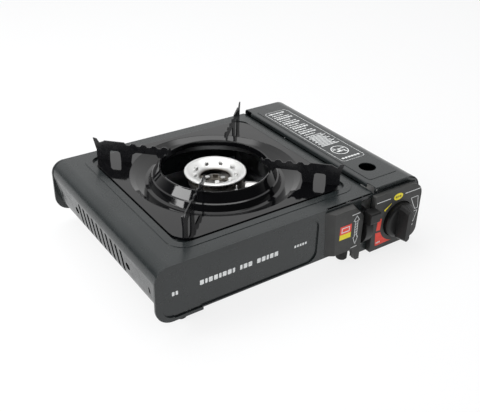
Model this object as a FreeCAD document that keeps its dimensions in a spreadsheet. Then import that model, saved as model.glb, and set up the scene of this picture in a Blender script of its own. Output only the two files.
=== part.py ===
import FreeCAD, Part
import math
import os

import Sketcher

# Butane cassette stove, in millimetres. X runs to the right along the front, Y to the back, Z up.
# The origin is on the floor, under the middle of the stove's bounding box.

doc = FreeCAD.newDocument("CassetteStove")
sheet = doc.addObject("Spreadsheet::Sheet", "Sizes")
pieces = []


class Size:
    """A length that carries its number and the formula that gives it in the sheet."""

    def __init__(self, number, formula):
        self.number = number
        self.formula = formula

    def __add__(self, other):
        other = as_size(other)
        return Size(self.number + other.number, f"({self.formula} + {other.formula})")

    def __sub__(self, other):
        other = as_size(other)
        return Size(self.number - other.number, f"({self.formula} - {other.formula})")

    def __mul__(self, other):
        other = as_size(other)
        return Size(self.number * other.number, f"({self.formula} * {other.formula})")

    def __truediv__(self, other):
        other = as_size(other)
        return Size(self.number / other.number, f"({self.formula} / {other.formula})")

    def __neg__(self):
        return as_size(0) - self

    __radd__ = __add__

    def __rsub__(self, other):
        return as_size(other) - self

    def __rmul__(self, other):
        return self * other


def as_size(value):
    return value if isinstance(value, Size) else Size(float(value), f"({float(value)})")


def least(first, second):
    """The smaller of two sizes."""
    return Size(min(first.number, second.number), f"min({first.formula}; {second.formula})")


class Rows:
    """Counts the rows of the sheet that are in use."""
    used = 0


def write_row(alias, content, note):
    Rows.used += 1
    sheet.set(f"A{Rows.used}", note)
    sheet.set(f"B{Rows.used}", content)
    sheet.setAlias(f"B{Rows.used}", alias)


def follow(alias, value, note):
    """Writes a dimension that follows from others into the sheet."""
    write_row(alias, "=" + value.formula.replace("Sizes.", ""), note)
    return Size(value.number, f"Sizes.{alias}")


# Overall sizes
body_width = 340.0  # left rim to lid side
body_depth = 250.0  # front face to back face
deck_height = 80.0  # floor to the top of the deck
rim_bottom = 15.0  # floor to the underside of the panel rims
steel = 0.8  # thickness of the sheet steel
rim_depth = 2.6  # front to back depth of the panel rims
press_depth = 1.6  # depth of the fields pressed into the panels
past = 2.0  # how far a cut runs past the material

# Knob
knob_reach = 24.0  # front face to the front of the knob ridge
knob_radius = 21.2  # radius of the knob disc
knob_from_right = 35.0  # knob axis from the right side
knob_height = 39.0  # floor to the knob axis
knob_disc_front = 12.0  # front face to the front of the knob disc
knob_back = 3.5  # front face to the back of the knob disc
ridge_width = 12.0  # width of the grip ridge at the disc
ridge_length = 43.0  # length of the grip ridge
shaft_radius = 3.0  # radius of the knob shaft
shaft_fit = 0.05  # radial clearance round turning shafts

# Upper shell
bay_width = 72.0  # right side to the seam beside the lid
corner_radius = 15.0  # radius of the top left corner
wall_inset = 0.6  # left wall behind the rims' left edge
wall_bend_height = 64.0  # height where the left wall starts to lean in
wall_lean = 7.2  # how far the left wall leans in at the bottom
curl_radius = 27.0  # radius of the curl under the left side
curl_width = 52.0  # left side to the end of the curled bottom
hinge_flange = 8.0  # height of the deck's flange at the seam
recess_left = 40.5  # left side to the pan recess
recess_front = 25.5  # front face to the pan recess
recess_right = 14.5  # pan recess to the seam
recess_length = 208.5  # pan recess along Y
recess_depth = 2.0  # deck to the ledge that carries the pan
recess_radius = 12.0  # corner radius of the pan recess
ledge_width = 7.0  # width of the ledge round the recess
plateau_margin = 8.2  # width of the raised frame round the recess
plateau_rise = 0.5  # height of the raised frame round the recess

# Vents in the left wall
vent_count = 10
vent_width = 4.6  # width of a vent slot
vent_low = 33.5  # floor to the bottom of the vent slots
vent_high = 61.5  # floor to the top of the vent slots
vent_first = 73.7  # front face to the first vent slot's middle
vent_pitch = 11.35  # distance between vent slots

# Cartridge compartment, lid and controls
tray_bottom = 7.0  # floor to the underside of the cartridge tray
tray_reach = 5.5  # seam to the cartridge tray's left wall
tray_radius = 8.0  # bottom corner radius of the cartridge tray
tray_wall_top = 40.0  # floor to the top of the tray's right wall
lid_rise = 5.0  # lid's top above the deck
lid_seam_gap = 1.4  # gap between the deck and the lid
lid_radius = 20.0  # radius of the lid's right corner
lid_side_bottom = 28.0  # floor to the lid's lower edge
lid_lip_depth = 5.0  # depth of the lid's end lips
hinge_pin_radius = 1.0  # radius of the lid's hinge pins
frame_thick = 1.0  # thickness of the control frame
frame_foot = 97.0  # right side to the left end of the control frame's deeper part
panel_end = 137.0  # right side to the right end of the front panel
panel_bottom = 18.3  # floor to the lower edge of the front panel
knob_panel_proud = 6.0  # knob panel in front of the front face
knob_panel_left = 73.8  # right side to the knob panel's left edge
plastic = 1.8  # wall of the moulded covers
cover_proud = 7.0  # lever cover in front of the front face
cover_left = 140.0  # right side to the lever cover's left edge

# Lever
lever_left = 88.0  # right side to the lever's left face
lever_thick = 10.0  # thickness of the lever's sector
lever_pivot_back = 10.0  # front face to the lever's pivot
lever_pivot_height = 40.0  # floor to the lever's pivot
lever_radius = 22.0  # radius of the lever's sector
pivot_radius = 2.0  # radius of the lever's pivot pin
crank_radius = 9.0  # lever's pivot to its crank pin
crank_pin_radius = 1.5  # radius of the crank pin

# Burner and pan
burner_top = 83.5  # floor to the burner cap's rim
burner_radius = 35.0  # radius of the burner cap
tube_height = 60.0  # floor to the mixing tube's axis
pan_gap = 1.5  # gap between the pan and the recess
pan_rise = 3.5  # pan's flat top above the ledge
pan_steel = 1.0  # thickness of the enamelled pan
pan_corner = 22.0  # corner radius of the pan
dish_margin = 8.25  # side of the recess to the pan's dish
dish_bottom = 9.0  # depth of the dish below the pan's flat top
dish_width = 21.0  # edge of the dish to the collar's foot
step_inset = 3.5  # collar's foot to its step
slope_width = 9.0  # collar's step to its top edge
collar_rise = 9.5  # collar's top above the pan's flat top

# Pan supports
arm_thick = 1.5  # thickness of a pan support
arm_top = 24.0  # pan supports' top above the pan's flat top
arm_reach = 139.5  # burner axis to a pan support's outer foot

# Feet
foot_radius = 6.6  # radius of a rubber foot
left_foot_x = 37.0  # left side to the left feet
left_foot_y = 19.5  # front or back face to the left feet
right_foot_x = 100.0  # right side to the right feet
right_foot_y = 10.5  # front or back face to the right feet


def drive(alias, number):
    """Writes a driving dimension into the sheet."""
    write_row(alias, str(number), alias.replace("_", " "))
    return Size(number, f"Sizes.{alias}")


for alias, number in list(globals().items()):
    if isinstance(number, float):
        globals()[alias] = drive(alias, number)

# Dimensions that follow
left = follow("left_side", -body_width / 2, "X of the left side")
right = follow("right_side", body_width / 2, "X of the right side")
front = follow("front_face", (knob_reach - body_depth) / 2, "Y of the front face")
back = follow("back_face", front + body_depth, "Y of the back face")
seam = follow("seam", right - bay_width, "X of the seam beside the lid")
recess_width = follow("recess_width", seam - recess_right - left - recess_left, "pan recess along X")
shell_bottom = follow("shell_bottom", rim_bottom + 0.5, "underside of the curled bottom")
centre_x = follow("centre_x", left + recess_left + recess_width / 2, "X of the burner axis")
centre_y = follow("centre_y", front + recess_front + recess_length / 2, "Y of the burner axis")
ledge_top = follow("ledge_top", deck_height - recess_depth, "height of the pan ledge")
tray_left = follow("tray_left", seam - tray_reach, "X of the cartridge tray's left wall")
lid_top = follow("lid_top", deck_height + lid_rise, "height of the lid's top")
lid_left = follow("lid_left", seam + lid_seam_gap, "X of the lid's left edge")
hinge_x = follow("hinge_x", lid_left + 3, "X of the lid's hinge axis")
hinge_z = follow("hinge_z", lid_top - 3, "height of the lid's hinge axis")
frame_right = follow("frame_right", right - 1.6, "X of the control frame's right edge")
frame_top = follow("frame_top", deck_height - 1, "height of the control frame's top")
pan_top = follow("pan_top", ledge_top + pan_rise, "height of the pan's flat top")
dish_radius = follow("dish_radius", least(recess_width, recess_length) / 2 - dish_margin, "radius of the dish")
collar_base = follow("collar_base", dish_radius - dish_width, "radius of the collar's foot")
collar_step = follow("collar_step", collar_base - step_inset, "radius of the collar's step")
collar_top = follow("collar_top", collar_step - slope_width, "radius of the collar's top edge")
doc.recompute()

knob_x = right - knob_from_right
pivot_y = front + lever_pivot_back
frame_back = front + frame_thick
panel_back = front + rim_depth
back_inside = back - rim_depth
base_top = shell_bottom + steel * 2

VIEWS = {"top": "XY_Plane", "front": "XZ_Plane", "side": "YZ_Plane"}
AXES = {"x": FreeCAD.Vector(1, 0, 0), "y": FreeCAD.Vector(0, 1, 0), "z": FreeCAD.Vector(0, 0, 1)}


def bind(thing, path, value):
    thing.setExpression(path, as_size(value).formula)


def spot(x, y):
    return FreeCAD.Vector(as_size(x).number, as_size(y).number, 0)


def pin_point(drawing, edge, end, x, y):
    """Holds one end of a sketched edge at a place that the sheet gives."""
    for kind, value in (("DistanceX", x), ("DistanceY", y)):
        value = as_size(value)
        index = drawing.addConstraint(Sketcher.Constraint(kind, -1, 1, edge, end, value.number))
        bind(drawing, f"Constraints[{index}]", value)


def polygon(*corners):
    """A closed outline of straight lines through the corners."""
    def draw(drawing):
        first = drawing.GeometryCount
        count = len(corners)
        for index in range(count):
            start = spot(*corners[index])
            end = spot(*corners[(index + 1) % count])
            drawing.addGeometry(Part.LineSegment(start, end))
        for index in range(count):
            following = first + (index + 1) % count
            drawing.addConstraint(Sketcher.Constraint("Coincident", first + index, 2, following, 1))
            pin_point(drawing, first + index, 1, *corners[index])
    return draw


def rounded(x_low, x_high, y_low, y_high, radius):
    """A rectangle with rounded corners."""
    x_low, x_high, y_low, y_high, radius = (as_size(v) for v in (x_low, x_high, y_low, y_high, radius))
    ends = [(x_low + radius, y_low), (x_high - radius, y_low), (x_high, y_low + radius),
            (x_high, y_high - radius), (x_high - radius, y_high), (x_low + radius, y_high),
            (x_low, y_high - radius), (x_low, y_low + radius)]
    centres = [(x_high - radius, y_low + radius), (x_high - radius, y_high - radius),
               (x_low + radius, y_high - radius), (x_low + radius, y_low + radius)]

    def draw(drawing):
        first = drawing.GeometryCount
        for side in range(4):
            drawing.addGeometry(Part.LineSegment(spot(*ends[2 * side]), spot(*ends[2 * side + 1])))
            circle = Part.Circle(spot(*centres[side]), AXES["z"], radius.number)
            turn = math.pi / 2 * (side - 1)
            drawing.addGeometry(Part.ArcOfCircle(circle, turn, turn + math.pi / 2))
        for side in range(4):
            line = first + 2 * side
            arc = line + 1
            following = first + (2 * side + 2) % 8
            drawing.addConstraint(Sketcher.Constraint("Tangent", line, 2, arc, 1))
            drawing.addConstraint(Sketcher.Constraint("Tangent", arc, 2, following, 1))
        drawing.addConstraint(Sketcher.Constraint("Horizontal", first))
        drawing.addConstraint(Sketcher.Constraint("Vertical", first + 2))
        drawing.addConstraint(Sketcher.Constraint("Horizontal", first + 4))
        drawing.addConstraint(Sketcher.Constraint("Vertical", first + 6))
        for side in range(1, 4):
            drawing.addConstraint(Sketcher.Constraint("Equal", first + 1, first + 2 * side + 1))
        index = drawing.addConstraint(Sketcher.Constraint("Radius", first + 1, radius.number))
        bind(drawing, f"Constraints[{index}]", radius)
        pin_point(drawing, first, 1, *ends[0])
        pin_point(drawing, first + 4, 1, *ends[4])
    return draw


def circle(x, y, radius):
    """A full circle."""
    def draw(drawing):
        edge = drawing.addGeometry(Part.Circle(spot(x, y), AXES["z"], as_size(radius).number))
        pin_point(drawing, edge, 3, x, y)
        index = drawing.addConstraint(Sketcher.Constraint("Radius", edge, as_size(radius).number))
        bind(drawing, f"Constraints[{index}]", radius)
    return draw


class Piece:
    """One physical piece: a body that is built up feature by feature."""

    def __init__(self, name):
        self.name = name
        self.body = doc.addObject("PartDesign::Body", name)
        self.body.Label = name
        pieces.append(self.body)

    def draw(self, view, level, outlines, origin=(0, 0)):
        """Sketches outlines on a plane seen from the top, front or side, at a level along its axis."""
        drawing = self.body.newObject("Sketcher::SketchObject", self.name + "_sketch")
        role = VIEWS[view]
        plane = [item for item in self.body.Origin.OriginFeatures if item.Role == role][0]
        drawing.AttachmentSupport = [(plane, "")]
        drawing.MapMode = "FlatFace"
        bind(drawing, "AttachmentOffset.Base.x", origin[0])
        bind(drawing, "AttachmentOffset.Base.y", origin[1])
        bind(drawing, "AttachmentOffset.Base.z", -as_size(level) if view == "front" else level)
        for outline in outlines:
            outline(drawing)
        return drawing

    def finish(self, feature):
        doc.recompute()
        if "Invalid" in feature.State or feature.Shape.isNull() or not feature.Shape.isValid():
            raise ValueError(f"{self.name}: {feature.Name} gives no valid solid")
        self.body.Tip = feature
        return feature

    def pad(self, view, start, end, *outlines, origin=(0, 0)):
        """Adds material between two levels along the view's axis."""
        drawing = self.draw(view, end if view == "front" else start, outlines, origin)
        feature = self.body.newObject("PartDesign::Pad", self.name + "_pad")
        feature.Profile = drawing
        bind(feature, "Length", as_size(end) - start)
        return self.finish(feature)

    def cut(self, view, start, end, *outlines, origin=(0, 0)):
        """Removes material between two levels along the view's axis."""
        before = self.body.Shape.Volume
        drawing = self.draw(view, start if view == "front" else end, outlines, origin)
        feature = self.body.newObject("PartDesign::Pocket", self.name + "_cut")
        feature.Profile = drawing
        bind(feature, "Length", as_size(end) - start)
        self.finish(feature)
        if self.body.Shape.Volume >= before - 1e-6:
            raise ValueError(f"{self.name}: {feature.Name} removes nothing")
        return feature

    def turn(self, view, level, outline, axis, origin=(0, 0)):
        """Revolves an outline about the horizontal or vertical axis of its sketch."""
        drawing = self.draw(view, level, [outline], origin)
        feature = self.body.newObject("PartDesign::Revolution", self.name + "_turn")
        feature.Profile = drawing
        feature.ReferenceAxis = (drawing, [axis])
        feature.Angle = 360
        return self.finish(feature)

    def loft(self, view, start, first, end, last):
        """Blends one outline into another."""
        lower = self.draw(view, start, [first])
        upper = self.draw(view, end, [last])
        feature = self.body.newObject("PartDesign::AdditiveLoft", self.name + "_loft")
        feature.Profile = lower
        feature.Sections = [upper]
        feature.Ruled = True
        return self.finish(feature)

    def fillet(self, radius, axis, *places):
        """Rounds the straight edges that run along an axis through the places."""
        tip = self.body.Tip
        feature = self.body.newObject("PartDesign::Fillet", self.name + "_fillet")
        feature.Base = (tip, edges_along(tip.Shape, axis, places))
        bind(feature, "Radius", radius)
        return self.finish(feature)

    def row(self, feature, axis, length, count):
        """Repeats a feature in a straight row."""
        pattern = self.body.newObject("PartDesign::LinearPattern", self.name + "_row")
        pattern.Originals = [feature]
        pattern.Direction = (feature.Profile[0], [axis])
        bind(pattern, "Length", length)
        pattern.Occurrences = count
        return self.finish(pattern)

    def ring(self, feature, count):
        """Repeats a feature in a full circle round its sketch's origin."""
        pattern = self.body.newObject("PartDesign::PolarPattern", self.name + "_ring")
        pattern.Originals = [feature]
        pattern.Axis = (feature.Profile[0], ["N_Axis"])
        pattern.Angle = 360
        pattern.Occurrences = count
        return self.finish(pattern)

    def place(self, x, y, z, turn=0):
        """Moves the whole piece and turns it about the vertical, in degrees."""
        self.body.Placement = FreeCAD.Placement(FreeCAD.Vector(0, 0, 0), FreeCAD.Rotation(AXES["z"], turn))
        bind(self.body, "Placement.Base.x", x)
        bind(self.body, "Placement.Base.y", y)
        bind(self.body, "Placement.Base.z", z)
        doc.recompute()
        return self


def edges_along(shape, axis, places):
    """Names the straight edges that run along an axis through any of the places."""
    others = [letter for letter in "xyz" if letter != axis]
    names = []
    for number, edge in enumerate(shape.Edges, 1):
        start = edge.Vertexes[0].Point
        end = edge.Vertexes[-1].Point
        if start.distanceToPoint(end) < 1e-6 or edge.Curve.TypeId != "Part::GeomLine":
            continue
        if abs((end - start).normalize().dot(AXES[axis])) < 0.999:
            continue
        for place in places:
            wanted = [as_size(value).number for value in place]
            found = [getattr(start, letter) for letter in others]
            if all(abs(a - b) < 0.01 for a, b in zip(wanted, found)):
                names.append(f"Edge{number}")
                break
    if len(names) < len(places):
        raise ValueError(f"only {len(names)} of {len(places)} edges found along {axis}")
    return names


def inset(corners, margin):
    """The bounds of a rectangle (x_low, x_high, y_low, y_high), drawn in by a margin."""
    x_low, x_high, y_low, y_high = corners
    return x_low + margin, x_high - margin, y_low + margin, y_high - margin


# Upper shell: deck, left wall and curled bottom, all one sheet
wall_x = left + wall_inset
recess = (left + recess_left, left + recess_left + recess_width,
          front + recess_front, front + recess_front + recess_length)


def body_shell():
    shell = Piece("body_shell")
    outer = [(seam, deck_height), (wall_x, deck_height), (wall_x, wall_bend_height),
             (wall_x + wall_lean, shell_bottom), (left + curl_width, shell_bottom)]
    inner = [(left + curl_width, shell_bottom + steel), (wall_x + wall_lean + steel, shell_bottom + steel),
             (wall_x + steel, wall_bend_height), (wall_x + steel, deck_height - steel),
             (seam - steel, deck_height - steel), (seam - steel, deck_height - hinge_flange),
             (seam, deck_height - hinge_flange)]
    shell.pad("front", panel_back, back_inside, polygon(*outer, *inner))
    shell.fillet(corner_radius - steel, "y", inner[3])
    shell.fillet(corner_radius, "y", outer[1])
    shell.fillet(curl_radius - steel, "y", inner[1])
    shell.fillet(curl_radius, "y", outer[3])
    frame = inset(recess, -plateau_margin)
    shell.pad("top", deck_height - steel / 2, deck_height + plateau_rise,
              rounded(*frame, recess_radius + plateau_margin))
    shell.pad("top", ledge_top - steel, deck_height - steel / 2,
              rounded(*inset(recess, -steel), recess_radius + steel))
    shell.cut("top", ledge_top, deck_height + past, rounded(*recess, recess_radius))
    shell.cut("top", ledge_top - past, ledge_top + past,
              rounded(*inset(recess, ledge_width), recess_radius / 2))
    low_y = front + vent_first - vent_width / 2
    slot = shell.cut("side", left - past, wall_x + wall_lean * 2,
                     rounded(low_y, low_y + vent_width, vent_low, vent_high, vent_width * 0.45))
    shell.row(slot, "H_Axis", vent_pitch * (vent_count - 1), vent_count)
    hole_z = (vent_low + vent_high) / 2
    holes = [circle(front + vent_first - vent_pitch, hole_z, 4.2),
             circle(front + vent_first + vent_pitch * vent_count, hole_z, 4.2)]
    screw_slots = [rounded(y - 1.4, y + 1.4, hole_z - 4, hole_z + 4, 1.2)
                   for y in (front + 17, back - 20)]
    shell.cut("side", left - past, wall_x + wall_lean * 2, *holes, *screw_slots)


def front_panel():
    panel = Piece("front_panel")
    corners = [(left, deck_height), (left, rim_bottom), (left + curl_width, rim_bottom),
               (left + curl_width, panel_bottom), (right - panel_end, panel_bottom),
               (right - panel_end, deck_height)]
    panel.pad("front", front, panel_back, polygon(*corners))
    panel.fillet(corner_radius, "y", corners[0])
    panel.fillet(corner_radius + 4, "y", corners[1])
    field = (left + 7.5, right - panel_end - 10, panel_bottom + 1.8, deck_height - 6)
    panel.cut("front", front - past, front + press_depth, rounded(*field, 12))
    slit = (left + 20, left + curl_width - 1, panel_bottom + 0.3, panel_bottom + 1.8)
    panel.cut("front", front - past, panel_back + past, rounded(*slit, 0.6))


def control_frame():
    frame = Piece("control_frame")
    corners = [(right - panel_end, panel_bottom), (right - frame_foot, panel_bottom), (right - frame_foot, tray_bottom),
               (frame_right, tray_bottom), (frame_right, frame_top), (right - panel_end, frame_top)]
    frame.pad("front", front, frame_back, polygon(*corners))
    frame.fillet(tray_radius + 2, "y", corners[3])
    frame.fillet(lid_radius - 3, "y", corners[4])
    slot = (right - lever_left - 1.5, right - lever_left + lever_thick + 3.5,
            lever_pivot_height - lever_radius + 1.6, deck_height - 4)
    frame.cut("front", front - past, frame_back + past, rounded(*slot, 1.5),
              circle(knob_x, knob_height, 8))


def back_panel():
    panel = Piece("back_panel")
    corners = [(left, deck_height), (left, rim_bottom), (tray_left, rim_bottom),
               (tray_left, tray_bottom), (frame_right, tray_bottom), (frame_right, frame_top),
               (seam, frame_top), (seam, deck_height)]
    panel.pad("front", back_inside, back, polygon(*corners))
    panel.fillet(corner_radius, "y", corners[0])
    panel.fillet(corner_radius + 4, "y", corners[1])
    panel.fillet(tray_radius + 2, "y", corners[4])
    panel.fillet(lid_radius - 3, "y", corners[5])
    field = (left + 10, tray_left - 8, panel_bottom + 3, deck_height - 8)
    panel.cut("front", back - press_depth, back + past, rounded(*field, 12))
    panel.cut("front", back_inside - past, back - frame_thick,
              rounded(seam, right, lid_side_bottom - 1, deck_height + past, 0.5))


def base_tray():
    tray = Piece("base_tray")
    low = shell_bottom + steel
    bounds = (left + 34, tray_left, panel_back + 0.6, back_inside - 0.6)
    tray.pad("top", low, low + steel, rounded(*bounds, 1.5))
    for start in (bounds[2], bounds[3] - steel):
        tray.pad("top", low, low + 7, rounded(bounds[0] + 6, bounds[1] - 10, start, start + steel, 0.3))
    tray.cut("top", low - past, low + 7 + past, rounded(
        right - lever_left - 5, tray_left + past, bounds[2] - past, pivot_y + 12, 1))
    inlet = tray.cut("top", low - past, low + past, circle(48, 0, 5), origin=(centre_x, centre_y))
    tray.ring(inlet, 8)


def cartridge_tray():
    tray = Piece("cartridge_tray")
    wall = frame_right
    outer = [(tray_left, 26), (tray_left, tray_bottom), (wall, tray_bottom), (wall, tray_wall_top)]
    inner = [(wall - steel, tray_wall_top), (wall - steel, tray_bottom + steel),
             (tray_left + steel, tray_bottom + steel), (tray_left + steel, 26)]
    tray.pad("front", panel_back, back_inside, polygon(*outer, *inner))
    tray.fillet(tray_radius - steel, "y", inner[1], inner[2])
    tray.fillet(tray_radius, "y", outer[1], outer[2])


def partition_wall():
    wall = Piece("partition_wall")
    low_x = tray_left - 8.5
    high_x = tray_left - steel
    ledge = 46
    top = deck_height - 5
    wall.pad("front", front + 57, back_inside - steel * 2, polygon(
        (low_x - 8, base_top), (low_x + steel, base_top), (low_x + steel, ledge - steel),
        (high_x + steel, ledge - steel), (high_x + steel, top), (high_x, top), (high_x, ledge),
        (low_x, ledge), (low_x, base_top + steel), (low_x - 8, base_top + steel)))


def foot(name, x, y, top):
    rubber = Piece(name)
    profile = polygon((0, 0), (foot_radius - 1.2, 0), (foot_radius - 0.3, 1), (foot_radius, top - 3),
                      (foot_radius, top), (0, top))
    rubber.turn("front", y, profile, "V_Axis", origin=(x, 0))


def feet():
    for name, x, y, top in (
            ("foot_front_left", left + left_foot_x, front + left_foot_y, shell_bottom),
            ("foot_back_left", left + left_foot_x, back - left_foot_y, shell_bottom),
            ("foot_front_right", right - right_foot_x, front + right_foot_y, shell_bottom + steel),
            ("foot_back_right", right - right_foot_x, back - right_foot_y, shell_bottom + steel)):
        foot(name, x, y, top)


# Front covers
def knob_panel():
    panel = Piece("knob_panel")
    low = front - knob_panel_proud
    bounds = (right - knob_panel_left, frame_right, tray_bottom - 0.5, frame_top - 1)
    corners = [(bounds[0], bounds[2]), (bounds[1], bounds[2]), (bounds[1], bounds[3]), (bounds[0], bounds[3])]
    panel.pad("front", low, front, polygon(*corners))
    panel.fillet(11, "y", corners[1])
    panel.fillet(17, "y", corners[2])
    panel.fillet(1.2, "y", corners[0], corners[3])
    panel.cut("front", low + plastic, front + past, rounded(*inset(bounds, plastic), 15))
    panel.cut("front", low - past, front + past, circle(knob_x, knob_height, knob_radius + 0.8))


def lever_cover():
    cover = Piece("lever_cover")
    low = front - cover_proud
    top = frame_top - 3.5
    bottom = panel_bottom + 2.2
    tip = tray_bottom - 2
    edge = right - lever_left - 2.4
    start = right - cover_left
    cover.loft("front", front, polygon(
        (start, top + 1), (start + 4.5, bottom), (edge - 11, bottom), (edge - 5, tip),
        (edge, tip), (edge, top - 12), (edge - 12, top + 1)),
        low, polygon(
        (start + 8.7, top - 1), (start + 12.3, bottom + 1.5), (edge - 11, bottom + 1), (edge - 5, tip + 0.6),
        (edge, tip + 0.6), (edge, top - 14), (edge - 13, top - 1)))
    cover.cut("front", low + plastic, front + past, polygon(
        (start + 11.5, top - 3), (start + 13.5, bottom + 4), (edge - 12, bottom + 4),
        (edge - 2, bottom + 4), (edge - 2, top - 16), (edge - 14, top - 3)))


# Gas train
outlet_x = knob_x - 27
outlet_y = front + 32.5


def tube_angle():
    """Turn of the mixing tube about the burner axis, in degrees."""
    return math.degrees(math.atan2((outlet_y - centre_y).number, (outlet_x - centre_x).number))


def tube_length():
    """Burner axis to the jet, along the mixing tube."""
    return math.hypot((outlet_y - centre_y).number, (outlet_x - centre_x).number)


def regulator():
    body = Piece("regulator_body")
    axis_x = knob_x - 2
    axis_z = knob_height + 3
    body.pad("top", knob_height - 15, tube_height + 7,
             rounded(knob_x - 22, knob_x + 20, front + 12, front + 40, 4))
    body.turn("side", axis_x, polygon(
        (front + 38, 0), (front + 38, 15), (front + 43, 15), (front + 46, 12), (front + 46, 0)),
        "H_Axis", origin=(0, axis_z))
    body.turn("side", knob_x, polygon(
        (front + 4, 0), (front + 4, 8), (front + 9, 10), (front + 13, 10), (front + 13, 0)),
        "H_Axis", origin=(0, knob_height))
    body.cut("front", front + 37, front + 46 + past, circle(axis_x, axis_z, 5.6))
    body.cut("front", front - past, front + 24, circle(knob_x, knob_height, shaft_radius + shaft_fit))
    bracket = Piece("regulator_bracket")
    bracket.pad("front", frame_back, front + 4,
                rounded(knob_x - 24, knob_x + 24, knob_height - 17, knob_height + 22, 4))
    bracket.cut("front", front - past, front + 4 + past, circle(knob_x, knob_height, shaft_radius + 1),
                circle(knob_x - 19, knob_height, 1.6), circle(knob_x + 19, knob_height, 1.6))
    screws = Piece("regulator_screws")
    for x in (knob_x - 19, knob_x + 19):
        screws.pad("front", front + 1.5, front + 4, circle(x, knob_height, 1.5))
        screws.pad("front", front + 4, front + 5.6, circle(x, knob_height, 3))


def gas_jet():
    jet = Piece("gas_jet")
    reach = tube_length()
    jet.turn("front", 0, polygon(
        (reach - 12, 0), (reach - 12, 2), (reach - 4, 3.4), (reach - 4, 5), (reach + 2.1, 5), (reach + 2.1, 0)),
        "H_Axis")
    jet.place(centre_x, centre_y, tube_height, tube_angle())


def mixing_tube():
    tube = Piece("mixing_tube")
    reach = tube_length() - 5
    tube.turn("front", 0, polygon(
        (34, 8.85), (34, 9.9), (46, 9.9), (60, 9), (reach - 40, 7.6), (reach - 14, 8.6), (reach - 10, 11),
        (reach, 11.5), (reach, 10.5), (reach - 9, 10), (reach - 14, 7.6), (reach - 40, 6.6), (60, 8),
        (46, 8.85)), "H_Axis")
    tube.place(centre_x, centre_y, tube_height, tube_angle())


def piezo():
    unit = Piece("piezo_unit")
    low = tray_bottom + steel
    unit.pad("top", low, low + 11, rounded(knob_x - 20, knob_x - 6, front + 4, front + 30, 1.5))
    unit.pad("front", frame_back + 0.4, front + 4, circle(knob_x - 13, low + 5.5, 3))


# Burner, built round its own vertical axis
def burner():
    body = Piece("burner_body")
    base = burner_top - 27.5
    body.turn("front", 0, polygon(
        (0, base), (12, base), (26, base + 6), (30.5, base + 13), (30.5, base + 20), (27.5, base + 20),
        (27.5, base + 14), (22, base + 9), (12, base + 7), (12, base + 16.5), (0, base + 16.5)), "V_Axis")
    body.pad("side", 24, 42, circle(0, tube_height, 8.8))
    body.cut("side", 20, 42 + past, circle(0, tube_height, 6.5))
    for x in (-8.8, 8.8):
        body.cut("top", base + 9, base + 18, circle(x, 0, 1.6))
    body.place(centre_x, centre_y, 0, tube_angle())

    gasket = Piece("burner_gasket")
    gasket.pad("top", burner_top - 7.5, burner_top - 6.7, circle(0, 0, burner_radius - 3.4),
               circle(0, 0, burner_radius - 7.5))
    gasket.place(centre_x, centre_y, 0)

    ports = Piece("burner_port_ring")
    ports.pad("top", burner_top - 6.7, burner_top - 2.5, circle(0, 0, burner_radius - 1.6),
              circle(0, 0, burner_radius - 6.5))
    tooth = ports.cut("top", burner_top - 5.4, burner_top - 2.5 + past,
                      rounded(burner_radius - 4, burner_radius, -1.1, 1.1, 0.3))
    ports.ring(tooth, 36)
    ports.place(centre_x, centre_y, 0)

    cap = Piece("burner_cap")
    edge = burner_radius
    cap.turn("front", 0, polygon(
        (edge - 1.8, burner_top - 2.5), (edge, burner_top - 1.8), (edge, burner_top - 0.6),
        (edge - 0.8, burner_top), (edge - 3.2, burner_top), (edge - 3.7, burner_top - 0.5),
        (edge - 4.3, burner_top - 0.4), (edge - 14, burner_top - 5.2), (edge - 18, burner_top - 8),
        (edge - 18, burner_top - 10), (edge - 15.5, burner_top - 8.5), (edge - 7, burner_top - 2.5)), "V_Axis")
    nub = cap.pad("top", burner_top - 6.5, burner_top - 1.2,
                  rounded(21.6, 25.4, -2.5, 2.5, 1.6))
    cap.ring(nub, 9)
    cap.place(centre_x, centre_y, 0, 3)

    strap = Piece("burner_strap")
    low = burner_top - 11
    strap.pad("top", low, low + 1, rounded(-18.5, 18.5, -4.5, 4.5, 2), circle(-8.8, 0, 1.6), circle(8.8, 0, 1.6))
    strap.pad("top", low + 0.5, low + 4, rounded(-3, 3, 2.6, 3.6, 0.4))
    strap.place(centre_x, centre_y, 0, tube_angle())
    screws = Piece("burner_screws")
    for x in (-8.8, 8.8):
        screws.pad("top", low - 5, low + 1, circle(x, 0, 1.5))
        screws.pad("top", low + 1, low + 2.4, circle(x, 0, 2.7))
    screws.place(centre_x, centre_y, 0, tube_angle())


def burner_stand():
    stand = Piece("burner_stand")
    top = burner_top - 27.5
    metal = 1.2
    stand.pad("front", -13, 13, polygon(
        (-34, base_top), (-22, base_top), (-22, top - metal), (22, top - metal), (22, base_top),
        (34, base_top), (34, base_top + metal), (22 + metal, base_top + metal), (22 + metal, top),
        (-22 - metal, top), (-22 - metal, base_top + metal), (-34, base_top + metal)))
    stand.place(centre_x, centre_y, 0, tube_angle() + 90)


def electrode():
    rod = Piece("electrode")
    reach = burner_radius + 2
    low = 50
    high = burner_top - 8.5
    rod.turn("front", 0, polygon(
        (0, low), (2.4, low), (2.4, high - 1), (1.6, high), (0.7, high), (0.7, high + 5), (0, high + 5)),
        "V_Axis", origin=(reach, 0))
    rod.place(centre_x, centre_y, 0, -83)
    bracket = Piece("electrode_bracket")
    bracket.pad("top", base_top, base_top + 1, rounded(30, 46, -5, 5, 1))
    bracket.pad("side", 41, 42, rounded(-5, 5, base_top + 0.5, 62, 0.4))
    bracket.pad("top", 61, 62, rounded(reach - 4.5, 41.5, -5, 5, 0.4))
    bracket.cut("top", 61 - past, 62 + past, circle(reach, 0, 2.45))
    bracket.place(centre_x, centre_y, 0, -83)


# Drip pan and its supports
pan = inset(recess, pan_gap)


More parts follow.
